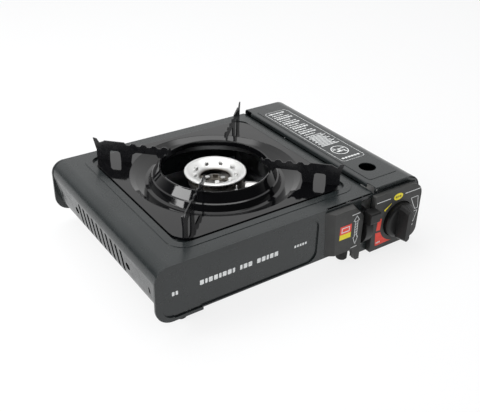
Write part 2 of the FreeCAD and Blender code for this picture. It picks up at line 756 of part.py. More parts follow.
def drip_pan():
    dish = Piece("drip_pan")
    dish.pad("top", ledge_top, pan_top, rounded(*pan, pan_corner))
    dish.cut("top", ledge_top - past, pan_top - pan_steel,
             rounded(*inset(pan, pan_steel), pan_corner - pan_steel))
    dish.cut("top", ledge_top - past, pan_top + past, circle(centre_x, centre_y, dish_radius - 0.5))
    low = pan_top - dish_bottom
    high = pan_top + collar_rise
    step = pan_top - 1.2
    upper = [(dish_radius, pan_top), (dish_radius - 7, pan_top - 4), (collar_base + 4, low + 0.6),
             (collar_base, low + 1.2), (collar_step, step), (collar_step - 1.6, step + 0.8),
             (collar_top + 0.8, high - 0.8), (collar_top, high), (collar_top - 1.4, high - 0.4),
             (collar_top - 2, high - 6)]
    under = [(collar_top - 1, high - 6), (collar_top - 0.5, high - 1.6), (collar_step - 2.8, step - 0.1),
             (collar_step - 1.2, step - 0.9), (collar_base - 1.2, low + 0.2), (collar_base + 4, low - 0.6),
             (dish_radius - 6.6, pan_top - 5.2), (dish_radius, pan_top - 1.2)]
    dish.turn("front", centre_y, polygon(*upper, *under), "V_Axis", origin=(centre_x, 0))


def pan_support(name, turn):
    arm = Piece(name)
    high = pan_top + arm_top
    seat = pan_top + collar_rise
    top = [(arm_reach - 0.3, pan_top), (arm_reach - 0.5, pan_top + 12), (arm_reach + 3, high + 2.4),
           (arm_reach - 1, high + 1.6), (arm_reach - 4, high - 3), (arm_reach - 8.5, high - 1.2),
           (arm_reach - 10, high), (arm_reach - 33.5, high), (arm_reach - 35.9, high - 2.6)]
    unit = (arm_reach - collar_top - 31.6) / 45.4
    for index in range(4):
        peak = arm_reach - 39.9 - unit * (1.2 + 12.2 * index)
        top += [(peak + unit * 1.2, high - 3), (peak - unit * 1.4, high - 0.4),
                (peak - unit * 5.2, high - 0.4), (peak - unit * 7.6, high - 3)]
    top += [(collar_top - 8.5, high - 3), (collar_top - 10.5, high)]
    inner = [(-11.9, high - 5.5), (-3.9, high - 9.5), (-2.1, seat), (3.5, seat), (5.5, high - 11)]
    outer = [(-47.5, high - 11), (-42.9, high - 14), (-41, pan_top), (-29.1, pan_top), (-28.5, pan_top + 10.6),
             (-26.5, pan_top + 12.4), (-18, pan_top + 12.4), (-16, pan_top + 10.6), (-15.5, pan_top)]
    low = [(collar_top + reach, height) for reach, height in inner]
    low += [(arm_reach + reach, height) for reach, height in outer]
    arm.pad("front", -arm_thick / 2, arm_thick / 2, polygon(*top, *low))
    arm.place(centre_x, centre_y, 0, turn)


def pan_supports():
    for name, turn in (("pan_support_front_left", 225), ("pan_support_front_right", 315),
                       ("pan_support_back_left", 135), ("pan_support_back_right", 45)):
        pan_support(name, turn)


# Lid over the cartridge compartment
def lid():
    cover = Piece("lid")
    low = panel_back - 1.3
    high = back_inside + 1.3
    edge = right
    bottom = lid_top - lid_lip_depth + 0.4
    outer = [(lid_left, bottom), (lid_left, lid_top), (edge, lid_top), (edge, lid_side_bottom)]
    inner = [(edge - steel, lid_side_bottom), (edge - steel, lid_top - steel),
             (lid_left + steel, lid_top - steel), (lid_left + steel, bottom)]
    cover.pad("front", low, high, polygon(*outer, *inner))
    cover.fillet(2 - steel, "y", inner[2])
    cover.fillet(2, "y", outer[1])
    cover.fillet(lid_radius - steel, "y", inner[1])
    cover.fillet(lid_radius, "y", outer[2])
    lip = lid_top - lid_lip_depth - 0.2
    for start in (low, high - steel):
        ending = cover.pad("front", start, start + steel, polygon(
            (lid_left + steel / 2, lip), (lid_left + steel / 2, lid_top - steel * 1.2),
            (edge - lid_radius, lid_top - steel / 2),
            (edge - lid_radius * 0.29 - steel / 2, lid_top - lid_radius * 0.29 - steel / 2),
            (edge - steel / 2, lid_top - lid_radius), (edge - steel / 2, lid_side_bottom),
            (edge - lid_lip_depth, lid_side_bottom), (edge - lid_lip_depth, lid_top - lid_radius),
            (edge - lid_radius * 0.4, lip - lid_radius * 0.14), (edge - lid_radius, lip)))
    for start in (low + steel + 0.1, high - steel - 12.1):
        cover.cut("top", lip - past, lid_top + past,
                  rounded(lid_left - past, lid_left + 2.2, start, start + 12, 0.4))
    cover.cut("front", low - past, high + past, circle(hinge_x, hinge_z, hinge_pin_radius + shaft_fit))
    cover.pad("top", lid_top - steel / 2, lid_top + 0.4,
              rounded(lid_left + 8, edge - lid_radius, front + 18, back - 15, 4))
    cover.cut("top", lid_top - 4, lid_top + past, circle(lid_left + 27, front + 42.4, 10))


def lid_hinges():
    low = panel_back - 1.3 + steel
    high = back_inside + 1.3 - steel
    for end, start, plate in (("front", low + 0.4, front + 0.6), ("back", high - 1.4, high - 1.8)):
        bracket = Piece("lid_hinge_bracket_" + end)
        bracket.pad("front", start, start + 1, polygon(
            (seam, deck_height - 7.5), (hinge_x + 1.9, deck_height - 7.5), (hinge_x + 1.9, hinge_z + 0.9),
            (hinge_x + 0.9, hinge_z + 1.8), (hinge_x - 0.9, hinge_z + 1.8), (hinge_x - 1.8, hinge_z + 0.9),
            (hinge_x - 1.8, hinge_z - 0.5), (hinge_x - 1.1, hinge_z - 5), (seam, hinge_z - 5)))
        bracket.cut("front", start - past, start + 1 + past, circle(hinge_x, hinge_z, hinge_pin_radius + 0.02))
        tab = start + 1 if end == "front" else start - 10
        bracket.pad("side", seam, seam + 1, rounded(tab, tab + 10, deck_height - 7.8, deck_height - 1.5, 0.4))
        pin = Piece("lid_hinge_pin_" + end)
        reach = start - 1.6 if end == "front" else start
        pin.pad("front", reach, reach + 2.6, circle(hinge_x, hinge_z, hinge_pin_radius))


# Knob
def knob():
    cap = Piece("knob")
    disc = polygon(
        (front - knob_back, shaft_radius + 0.02), (front - knob_back, knob_radius - 0.6),
        (front - knob_back - 1, knob_radius), (front - knob_disc_front + 2, knob_radius),
        (front - knob_disc_front + 0.4, knob_radius - 1.6), (front - knob_disc_front, knob_radius - 4),
        (front - knob_disc_front, shaft_radius + 0.02))
    cap.turn("side", knob_x, disc, "H_Axis", origin=(0, knob_height))
    low = knob_height - ridge_length / 2 - 1
    high = knob_height + ridge_length / 2 - 1
    half = ridge_width / 2
    slim = half - 2.6
    cap.loft("front", front - knob_disc_front + 1, polygon(
        (knob_x - half, low + 3), (knob_x - half + 3, low), (knob_x + half - 3, low), (knob_x + half, low + 3),
        (knob_x + half, high - 3), (knob_x + half - 3, high), (knob_x - half + 3, high), (knob_x - half, high - 3)),
        front - knob_reach, polygon(
        (knob_x - slim, low + 3.4), (knob_x - slim + 2.4, low + 1), (knob_x + slim - 2.4, low + 1),
        (knob_x + slim, low + 3.4), (knob_x + slim, high - 6), (knob_x + slim - 2.4, high - 3.6),
        (knob_x - slim + 2.4, high - 3.6), (knob_x - slim, high - 6)))
    cap.cut("front", front - 18, front + past, circle(knob_x, knob_height, shaft_radius + 0.02))
    shaft = Piece("knob_shaft")
    shaft.pad("front", front - 17.5, front + 22, circle(knob_x, knob_height, shaft_radius))


# Lever, its bracket and the carriage that it drives
def lever():
    sector = Piece("lever")
    low = right - lever_left
    high = low + lever_thick
    sector.pad("side", low, high, circle(pivot_y, lever_pivot_height, lever_radius))
    sector.cut("side", low - past, high + past, rounded(
        pivot_y + 9, pivot_y + 40, lever_pivot_height - 40, lever_pivot_height + 40, 1))
    sector.pad("side", low - 1, high + 3, rounded(
        pivot_y - 27, pivot_y - 14, lever_pivot_height + 13, lever_pivot_height + 26, 2))
    sector.cut("side", low - past, high + past,
               circle(pivot_y, lever_pivot_height, pivot_radius + shaft_fit),
               circle(pivot_y + crank_radius / 2, lever_pivot_height + crank_radius * 0.866,
                      crank_pin_radius + 0.02))
    crank = Piece("lever_crank_pin")
    crank.pad("side", low + 1, high + 3.4, circle(
        pivot_y + crank_radius / 2, lever_pivot_height + crank_radius * 0.866, crank_pin_radius))
    pin = Piece("lever_pivot_pin")
    pin.pad("side", low - 5, high + 7.2, circle(pivot_y, lever_pivot_height, pivot_radius))


def lever_bracket():
    bracket = Piece("lever_bracket")
    low = right - lever_left - 4.4
    high = right - lever_left + lever_thick + 5.2
    outline = polygon((frame_back, tray_bottom + 2), (frame_back + 3, tray_bottom + 2),
                      (pivot_y + 8, lever_pivot_height - 8), (pivot_y + 8, lever_pivot_height + 6),
                      (frame_back, lever_pivot_height + 6))
    for start in (low, high):
        bracket.pad("side", start, start + 1.2, outline)
        bracket.cut("side", start - 0.5, start + 1.7, circle(pivot_y, lever_pivot_height, pivot_radius + 0.02))
        if start is low:
            bracket.pad("front", frame_back, frame_back + 1.2, rounded(
                low + 0.2, high + 1, tray_bottom + 2, lever_pivot_height - lever_radius - 1, 0.5))


def carriage():
    arm = Piece("carriage")
    plate_x = right - lever_left + lever_thick + 1.6
    slot_y = pivot_y + crank_radius / 2
    slot_z = lever_pivot_height + crank_radius * 0.866
    floor = tray_bottom + 6
    rear = back_inside - 10
    arm.pad("side", plate_x, plate_x + 1.2, polygon(
        (slot_y - 3.4, slot_z - 4.4), (slot_y + 9, slot_z - 4.4), (slot_y + 9, floor),
        (slot_y + 17, floor), (slot_y + 17, slot_z + 4.4), (slot_y - 3.4, slot_z + 4.4)))
    arm.cut("side", plate_x - past, plate_x + past, rounded(
        slot_y - crank_pin_radius - 0.15, slot_y + crank_pin_radius + 0.15, slot_z - 1.9, slot_z + 3, 1.4))
    arm.pad("top", floor, floor + 1.2, rounded(plate_x, plate_x + 18, slot_y + 9, rear, 0.4))
    pusher = Piece("carriage_push_plate")
    pusher.pad("front", rear, rear + 1.2, rounded(plate_x + 0.4, right - 12, floor, 56, 5))
    pusher.cut("front", rear - past, rear + 1.2 + past, circle(knob_x - 2, 38, 8))
    for index, start in enumerate((front + 62, back - 70)):
        guide = Piece("carriage_guide_" + ("front", "back")[index])
        guide.pad("top", tray_bottom + steel, floor - 0.1, rounded(
            plate_x + 7.6, plate_x + 20, start, start + 12, 0.8))
        guide.pad("top", floor - 1, floor + 1.4, rounded(
            plate_x + 18.4, plate_x + 19.8, start, start + 12, 0.5))


def base_screws():
    screws = Piece("base_screws")
    low = shell_bottom + steel
    for x in (left + 90, right - 140):
        for y in (front + 14, back - 14):
            screws.pad("top", low - 1.8, low, circle(x, y, 3.2))


for build in (body_shell, front_panel, control_frame, back_panel, base_tray, cartridge_tray, partition_wall,
              feet, knob_panel, lever_cover, regulator, gas_jet, mixing_tube, piezo, burner, burner_stand,
              electrode, drip_pan, pan_supports, lid, lid_hinges, knob, lever, lever_bracket, carriage,
              base_screws):
    build()

doc.recompute()
for thing in doc.Objects:
    if "Invalid" in thing.State or "Error" in thing.State:
        raise ValueError(f"{thing.Name} failed: {thing.State}")
os.makedirs("parts", exist_ok=True)
for body in pieces:
    if body.Shape.isNull() or not body.Shape.isValid():
        raise ValueError(f"{body.Label} has no valid shape")
    body.Shape.exportStep(os.path.join("parts", body.Label + ".step"))
print(len(pieces), "pieces written")
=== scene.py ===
import bpy
import math
from mathutils import Matrix, Vector


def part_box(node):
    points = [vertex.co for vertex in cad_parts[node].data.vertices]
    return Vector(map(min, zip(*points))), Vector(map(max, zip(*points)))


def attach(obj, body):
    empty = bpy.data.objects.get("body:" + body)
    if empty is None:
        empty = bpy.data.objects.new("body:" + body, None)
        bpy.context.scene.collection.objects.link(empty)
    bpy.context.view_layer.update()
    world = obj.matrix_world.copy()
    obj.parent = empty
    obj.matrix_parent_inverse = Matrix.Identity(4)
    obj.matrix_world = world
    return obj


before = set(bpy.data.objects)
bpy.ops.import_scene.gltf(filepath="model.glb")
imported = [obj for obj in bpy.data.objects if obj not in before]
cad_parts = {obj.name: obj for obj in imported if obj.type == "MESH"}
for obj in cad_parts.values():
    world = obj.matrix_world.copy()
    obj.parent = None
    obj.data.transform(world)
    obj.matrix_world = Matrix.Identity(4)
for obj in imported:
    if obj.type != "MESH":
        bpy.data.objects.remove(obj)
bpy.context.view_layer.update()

MM = 0.001
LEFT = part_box("front_panel")[0][0]
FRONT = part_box("front_panel")[0][1]
CAP_LOW, CAP_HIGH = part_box("burner_cap")
BURNER = Vector(((CAP_LOW[0] + CAP_HIGH[0]) / 2, (CAP_LOW[1] + CAP_HIGH[1]) / 2, 0))

# Camera at the photograph's angle
PHOTO_WIDTH = 480
FOCAL_PIXELS = 703.4
SENSOR = 36.0
EYE = Vector((-396.5, -572.7, 457.1)) * MM
FORWARD = Vector((0.488, 0.704, -0.516)).normalized()
RIGHT = Vector((0.829, -0.559, 0.021)).normalized()


def set_camera():
    lens = bpy.data.cameras.new("photo_camera")
    lens.sensor_width = SENSOR
    lens.lens = FOCAL_PIXELS / PHOTO_WIDTH * SENSOR
    camera = bpy.data.objects.new("photo_camera", lens)
    up = RIGHT.cross(FORWARD).normalized()
    right = FORWARD.cross(up)
    turn = Matrix((right, up, -FORWARD)).transposed().to_4x4()
    camera.matrix_world = Matrix.Translation(EYE) @ turn
    bpy.context.collection.objects.link(camera)
    bpy.context.scene.camera = camera


# Materials
EDGE_RADIUS = 0.4 * MM
RINGS_PER_UNIT = 3.2  # in Blender's wave texture at a scale of 1
RING_DISTORTION = 0.6


class Paint:
    """A Principled material with its node tree, and short calls that add procedural detail to it."""

    def __init__(self, name, colour, roughness, metallic=0.0, **sockets):
        self.material = bpy.data.materials.new(name)
        self.material.use_nodes = True
        self.tree = self.material.node_tree
        self.shader = self.tree.nodes["Principled BSDF"]
        self.set("Base Color", (*colour, 1))
        self.set("Roughness", roughness)
        self.set("Metallic", metallic)
        for socket, value in sockets.items():
            self.set(socket.replace("_", " "), value)
        self.place = self.node("ShaderNodeTexCoord").outputs["Object"]
        rounding = self.node("ShaderNodeBevel", samples=4)
        rounding.inputs["Radius"].default_value = EDGE_RADIUS
        self.last_normal = rounding.outputs["Normal"]

    def set(self, socket, value):
        self.shader.inputs[socket].default_value = value

    def node(self, kind, **settings):
        made = self.tree.nodes.new(kind)
        for key, value in settings.items():
            setattr(made, key, value)
        return made

    def link(self, source, target):
        self.tree.links.new(source, target)

    def stretched(self, scale, centre=(0, 0, 0)):
        """Object coordinates, moved to a centre and scaled along each axis."""
        mapping = self.node("ShaderNodeMapping", vector_type="POINT")
        mapping.inputs["Scale"].default_value = scale
        mapping.inputs["Location"].default_value = [-c * s for c, s in zip(centre, scale)]
        self.link(self.place, mapping.inputs["Vector"])
        return mapping.outputs["Vector"]

    def noise(self, size, detail=2.0, stretch=None):
        """Noise with blotches of about this size in metres, between 0 and 1."""
        texture = self.node("ShaderNodeTexNoise")
        texture.inputs["Scale"].default_value = 1 / size
        texture.inputs["Detail"].default_value = detail
        self.link(self.stretched(stretch) if stretch else self.place, texture.inputs["Vector"])
        return texture.outputs["Fac"]

    def cells(self, size, output="Distance"):
        """A pattern of cells of about this size in metres."""
        texture = self.node("ShaderNodeTexVoronoi")
        texture.inputs["Scale"].default_value = 1 / size
        self.link(self.place, texture.inputs["Vector"])
        return texture.outputs[output]

    def rings(self, centre, pitch):
        """Slightly uneven rings about a vertical axis."""
        texture = self.node("ShaderNodeTexWave", wave_type="RINGS", rings_direction="Z")
        texture.inputs["Scale"].default_value = 1 / pitch / RINGS_PER_UNIT
        texture.inputs["Distortion"].default_value = RING_DISTORTION
        texture.inputs["Detail"].default_value = 2
        self.link(self.stretched((1, 1, 1), centre), texture.inputs["Vector"])
        return texture.outputs["Fac"]

    def distance(self, centre):
        """Metres from a vertical axis."""
        length = self.node("ShaderNodeVectorMath", operation="LENGTH")
        self.link(self.stretched((1, 1, 0), centre), length.inputs[0])
        return length.outputs["Value"]

    def spread(self, source, low, high, from_low=0.3, from_high=0.7):
        """Maps a texture onto a range of numbers."""
        ramp = self.node("ShaderNodeMapRange")
        ramp.inputs["From Min"].default_value = from_low
        ramp.inputs["From Max"].default_value = from_high
        ramp.inputs["To Min"].default_value = low
        ramp.inputs["To Max"].default_value = high
        self.link(source, ramp.inputs["Value"])
        return ramp.outputs["Result"]

    def roughness(self, source, low, high):
        self.link(self.spread(source, low, high), self.shader.inputs["Roughness"])
        return self

    def colours(self, source, first, second, low=0.35, high=0.65):
        """Blends two colours by a texture."""
        mix = self.node("ShaderNodeMix", data_type="RGBA")
        for socket in mix.inputs:
            if socket.type == "RGBA":
                socket.default_value = (*(first if socket.name == "A" else second), 1)
        self.link(self.spread(source, 0, 1, low, high), mix.inputs["Factor"])
        output = [socket for socket in mix.outputs if socket.type == "RGBA"][0]
        self.link(output, self.shader.inputs["Base Color"])
        return self

    def bump(self, source, depth, strength):
        """Adds relief of a depth in metres to what is there already."""
        relief = self.node("ShaderNodeBump")
        relief.inputs["Distance"].default_value = depth
        relief.inputs["Strength"].default_value = strength
        self.link(source, relief.inputs["Height"])
        self.link(self.last_normal, relief.inputs["Normal"])
        self.last_normal = relief.outputs["Normal"]
        self.link(self.last_normal, self.shader.inputs["Normal"])
        return self


def powder_coat():
    paint = Paint("satin_powder_coat", (0.015, 0.018, 0.018), 0.32)
    paint.colours(paint.noise(0.045, 3), (0.011, 0.014, 0.0145), (0.015, 0.0185, 0.019))
    paint.roughness(paint.noise(0.012, 4), 0.2, 0.3)
    return paint.bump(paint.noise(0.0011, 2), 0.00001, 0.4)


def gloss_enamel():
    paint = Paint("gloss_enamel", (0.003, 0.003, 0.0035), 0.05)
    paint.roughness(paint.noise(0.02, 4), 0.035, 0.09)
    paint.bump(paint.noise(0.022, 1), 0.00025, 0.25)
    return paint.bump(paint.noise(0.0016, 2), 0.000008, 0.5)


def support_enamel():
    paint = Paint("support_enamel", (0.008, 0.008, 0.009), 0.22)
    paint.roughness(paint.noise(0.008, 4), 0.16, 0.34)
    return paint.bump(paint.noise(0.0014, 3), 0.00003, 0.6)


def moulded_plastic():
    paint = Paint("moulded_plastic", (0.03, 0.03, 0.03), 0.5, Specular_IOR_Level=0.4)
    paint.colours(paint.noise(0.03, 3), (0.033, 0.033, 0.032), (0.041, 0.041, 0.039))
    paint.roughness(paint.noise(0.006, 4), 0.46, 0.58)
    return paint.bump(paint.cells(0.0009), 0.00003, 0.7)


def smooth_plastic():
    paint = Paint("smooth_plastic", (0.008, 0.008, 0.008), 0.34, Specular_IOR_Level=0.3)
    paint.colours(paint.noise(0.02, 3), (0.006, 0.006, 0.006), (0.01, 0.01, 0.01))
    paint.roughness(paint.noise(0.007, 4), 0.3, 0.42)
    return paint.bump(paint.noise(0.0012, 2), 0.00002, 0.5)


def galvanised_sheet():
    paint = Paint("galvanised_sheet", (0.6, 0.61, 0.62), 0.38, 1.0)
    paint.colours(paint.cells(0.009, output="Color"), (0.5, 0.51, 0.52), (0.7, 0.71, 0.72), 0.2, 0.8)
    paint.roughness(paint.cells(0.009, output="Color"), 0.28, 0.5)
    return paint.bump(paint.noise(0.004, 3), 0.00003, 0.4)


def plated_steel():
    paint = Paint("plated_steel", (0.55, 0.55, 0.55), 0.3, 1.0)
    paint.colours(paint.noise(0.01, 3), (0.48, 0.48, 0.47), (0.63, 0.63, 0.62))
    paint.roughness(paint.noise(0.003, 4, (1, 1, 6)), 0.24, 0.42)
    return paint.bump(paint.noise(0.0012, 2), 0.00001, 0.5)


def cap_metal():
    paint = Paint("satin_cap_metal", (0.86, 0.86, 0.86), 0.38, 0.85)
    # Painted shade: the cap's colour darkens to a near black brown within about 20 mm of the burner's axis,
    # standing in for the shade inside its inner cone round the centre hole.
    paint.colours(paint.distance(BURNER), (0.07, 0.06, 0.05), (0.72, 0.72, 0.71), 0.017, 0.0205)
    paint.roughness(paint.rings(BURNER, 0.0009), 0.34, 0.48)
    return paint.bump(paint.rings(BURNER, 0.0009), 0.00001, 0.5)


def cast_alloy():
    paint = Paint("cast_alloy", (0.42, 0.42, 0.42), 0.5, 1.0)
    paint.colours(paint.noise(0.008, 4), (0.34, 0.34, 0.33), (0.5, 0.5, 0.5))
    paint.roughness(paint.noise(0.003, 4), 0.42, 0.62)
    return paint.bump(paint.noise(0.0016, 3), 0.00008, 0.6)


def burner_casting():
    paint = Paint("burner_casting", (0.16, 0.155, 0.15), 0.55, 1.0)
    paint.colours(paint.noise(0.008, 4), (0.1, 0.097, 0.092), (0.24, 0.23, 0.22))
    paint.roughness(paint.noise(0.003, 4), 0.46, 0.66)
    return paint.bump(paint.noise(0.0016, 3), 0.00008, 0.6)


def port_steel():
    paint = Paint("heat_darkened_steel", (0.1, 0.095, 0.09), 0.45, 1.0)
    paint.colours(paint.noise(0.006, 4), (0.06, 0.055, 0.05), (0.2, 0.18, 0.15))
    paint.roughness(paint.noise(0.002, 3), 0.35, 0.6)
    return paint.bump(paint.noise(0.001, 2), 0.00002, 0.5)


def brass():
    paint = Paint("machined_brass", (0.72, 0.53, 0.22), 0.28, 1.0)
    paint.colours(paint.noise(0.006, 3), (0.66, 0.47, 0.18), (0.78, 0.6, 0.28))
    paint.roughness(paint.noise(0.002, 3), 0.2, 0.36)
    return paint.bump(paint.noise(0.0008, 2), 0.000008, 0.5)


def ceramic():
    paint = Paint("glazed_ceramic", (0.86, 0.85, 0.82), 0.16, Coat_Weight=0.4)
    paint.colours(paint.noise(0.005, 3), (0.8, 0.79, 0.75), (0.9, 0.89, 0.87))
    paint.roughness(paint.noise(0.003, 3), 0.1, 0.24)
    return paint.bump(paint.noise(0.002, 2), 0.00002, 0.4)


def rubber():
    paint = Paint("foot_rubber", (0.02, 0.02, 0.02), 0.75)
    paint.colours(paint.noise(0.006, 4), (0.016, 0.016, 0.016), (0.03, 0.03, 0.029))
    paint.roughness(paint.noise(0.004, 3), 0.68, 0.86)
    return paint.bump(paint.noise(0.0009, 3), 0.00004, 0.7)


def ink(name, colour):
    paint = Paint(name, colour, 0.5)
    paint.colours(paint.noise(0.0025, 3), [c * 0.9 for c in colour], colour)
    paint.roughness(paint.noise(0.002, 2), 0.42, 0.58)
    return paint.bump(paint.noise(0.0008, 2), 0.000006, 0.5)


MATERIALS = {
    powder_coat: ["body_shell", "front_panel", "back_panel", "lid", "cartridge_tray", "control_frame",
                  "lid_hinge_bracket_front", "lid_hinge_bracket_back"],
    gloss_enamel: ["drip_pan"],
    support_enamel: ["pan_support_front_left", "pan_support_front_right", "pan_support_back_left",
                     "pan_support_back_right"],
    moulded_plastic: ["knob_panel", "lever_cover"],
    smooth_plastic: ["knob", "lever", "piezo_unit"],
    galvanised_sheet: ["base_tray", "partition_wall"],
    cap_metal: ["burner_cap"],
    cast_alloy: ["regulator_body"],
    burner_casting: ["burner_body"],
    port_steel: ["burner_port_ring", "burner_strap"],
    brass: ["burner_gasket", "gas_jet"],
    ceramic: ["electrode"],
    rubber: ["foot_front_left", "foot_front_right", "foot_back_left", "foot_back_right"],
}


def dress_nodes():
    """Gives every CAD node its finish; small steel pieces that aren't listed are zinc plated."""
    finish = {}
    for recipe, nodes in MATERIALS.items():
        made = recipe().material
        for node in nodes:
            finish[node] = made
    plated = plated_steel().material
    for node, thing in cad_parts.items():
        material = finish.get(node, plated)
        if not thing.material_slots:
            thing.data.materials.append(material)
        for slot in thing.material_slots:
            slot.material = material


# Printed marks: thin closed prisms that lie on a face
INK_LIFT = 0.04 * MM
INK_SINK = 0.04 * MM
SECOND_LIFT = 2.5 * INK_LIFT  # a mark that is printed over another
PRESS_DEPTH = 1.6 * MM  # the field of the front panel behind its rim
CORNER_STEPS = 4
OVAL_STEPS = 28


class Face:
    """A flat face of the object, with millimetre coordinates as measured from its left and front edges."""

    def __init__(self, body, slot, origin, across, along):
        self.body = body
        self.slot = slot
        self.origin = Vector(origin)
        self.across = Vector(across)
        self.along = Vector(along)
        self.normal = self.across.cross(self.along)

    def point(self, u, v, lift):
        return self.origin + (self.across * u + self.along * v) * MM + self.normal * lift


def mark(name, face, paint, outlines, lift=INK_LIFT):
    """A printed mark of one or more outlines, where a pair of outlines is one with a hole."""
    points = []
    faces = []
    for outline in outlines:
        holed = isinstance(outline, tuple)
        loops = outline if holed else (outline,)
        count = len(loops[0])
        first = len(points)
        for level in (lift, -INK_SINK):
            for loop in loops:
                points += [face.point(u, v, level) for u, v in loop]
        per_level = count * len(loops)
        for index in range(count):
            following = (index + 1) % count
            for ring in range(len(loops)):
                low = first + ring * count
                wall = [low + index, low + per_level + index, low + per_level + following, low + following]
                faces.append(wall if ring == 0 else wall[::-1])
            if holed:
                top = [first + index, first + following, first + count + following, first + count + index]
                faces.append(top)
                faces.append([corner + per_level for corner in reversed(top)])
        if not holed:
            faces.append([first + index for index in range(count)])
            faces.append([first + per_level + index for index in reversed(range(count))])
    mesh = bpy.data.meshes.new(name)
    mesh.from_pydata(points, [], faces)
    mesh.materials.append(paint)
    piece = bpy.data.objects.new(name, mesh)
    bpy.context.collection.objects.link(piece)
    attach(piece, face.body)


def bar(u_low, u_high, v_low, v_high, radius=0.0):
    """A rectangle's outline, with rounded corners if a radius is given, counterclockwise."""
    if radius == 0:
        return [(u_low, v_low), (u_high, v_low), (u_high, v_high), (u_low, v_high)]
    outline = []
    corners = ((u_high - radius, v_low + radius, -90), (u_high - radius, v_high - radius, 0),
               (u_low + radius, v_high - radius, 90), (u_low + radius, v_low + radius, 180))
    for u, v, start in corners:
        for step in range(CORNER_STEPS + 1):
            turn = math.radians(start + 90 * step / CORNER_STEPS)
            outline.append((u + radius * math.cos(turn), v + radius * math.sin(turn)))
    return outline


def frame_of(u_low, u_high, v_low, v_high, width, radius=0.0):
    """A rectangular line of a width, as an outline with a hole."""
    inner = max(radius - width, 0.0)
    return (bar(u_low, u_high, v_low, v_high, radius),
            bar(u_low + width, u_high - width, v_low + width, v_high - width, inner))


def stroke(start, end, width, end_width=None):
    """A straight line of a width, which may taper."""
    u, v = end[0] - start[0], end[1] - start[1]
    length = math.hypot(u, v)
    side = (-v / length / 2, u / length / 2)
    end_width = width if end_width is None else end_width
    return [(start[0] - side[0] * width, start[1] - side[1] * width),
            (end[0] - side[0] * end_width, end[1] - side[1] * end_width),
            (end[0] + side[0] * end_width, end[1] + side[1] * end_width),
            (start[0] + side[0] * width, start[1] + side[1] * width)]


def path_of(corners, width):
    """A closed line through the corners, as strokes."""
    pairs = zip(corners, corners[1:] + corners[:1])
    return [stroke(start, end, width) for start, end in pairs]


def oval(u, v, across, along):
    """An ellipse's outline about its middle, counterclockwise."""
    turns = [2 * math.pi * step / OVAL_STEPS for step in range(OVAL_STEPS)]
    return [(u + across / 2 * math.cos(turn), v + along / 2 * math.sin(turn)) for turn in turns]


def row_of(count, pitch, u_low, u_high, v_low, v_high, radius):
    """Equal blocks in a row, the first from u_low to u_high."""
    shifts = [pitch * index for index in range(count)]
    return [bar(u_low + shift, u_high + shift, v_low, v_high, radius) for shift in shifts]


def front_marks(white):
    """A row of plain blocks in three groups, with a small one on each side."""
    face = Face("stove", "enamelled_shell", (LEFT, FRONT + PRESS_DEPTH, 0), (1, 0, 0), (0, 0, 1))
    start = 49.0
    wide_block = 4.5
    slim_block = wide_block * 0.62
    gap = 1.35
    group_gap = 4.6
    low, high = 44.6, 50.2
    row = []
    for group, count in enumerate((8, 3, 5)):
        for index in range(count):
            width = slim_block if (index + group) % 3 == 1 else wide_block
            row.append(bar(start, start + width, low, high, 0.7))
            start += width + gap
        start += group_gap
    mark("print_front_row", face, white, row)
    mark("print_front_left", face, white, [bar(18.5, 21.3, 44, 48.6, 0.6), bar(22.4, 25, 44, 48.6, 0.6)])
    mark("print_front_right", face, white, row_of(5, 3.4, 163, 165.3, 45.6, 48.6, 0.4))


def lever_marks(white, red, yellow):
    """A red and a yellow field, and a hatched arrow that points up and down beside the lever."""
    face = Face("stove", "black_plastic", (LEFT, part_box("lever_cover")[0][1], 0), (1, 0, 0), (0, 0, 1))
    mark("print_lever_red", face, red, [bar(217, 233, 46.6, 57)])
    mark("print_lever_yellow", face, yellow, [bar(217, 233, 40, 46.6)])
    mark("print_lever_frame", face, white, [frame_of(219.2, 230.6, 48.6, 55, 1.1)], SECOND_LIFT)
    ends = [stroke((232.5, 67), (243.5, 67.4), 0.9), stroke((235.5, 24.4), (244, 24.9), 0.9)]
    mark("print_lever_ends", face, white, ends)
    arrow = [(239.5, 64.5), (243.6, 58.4), (241.6, 58.4), (242, 37.5), (244, 37.5),
             (240.6, 28.2), (237, 37.5), (238.6, 37.5), (238, 58.4), (235.6, 58.4)]
    hatches = []
    for index in range(6):
        v = 39.5 + 3.4 * index
        hatches.append(stroke((238.7, v), (241.3, v + 1.8), 0.7))
    mark("print_lever_arrow", face, white, path_of(arrow, 0.75) + hatches)


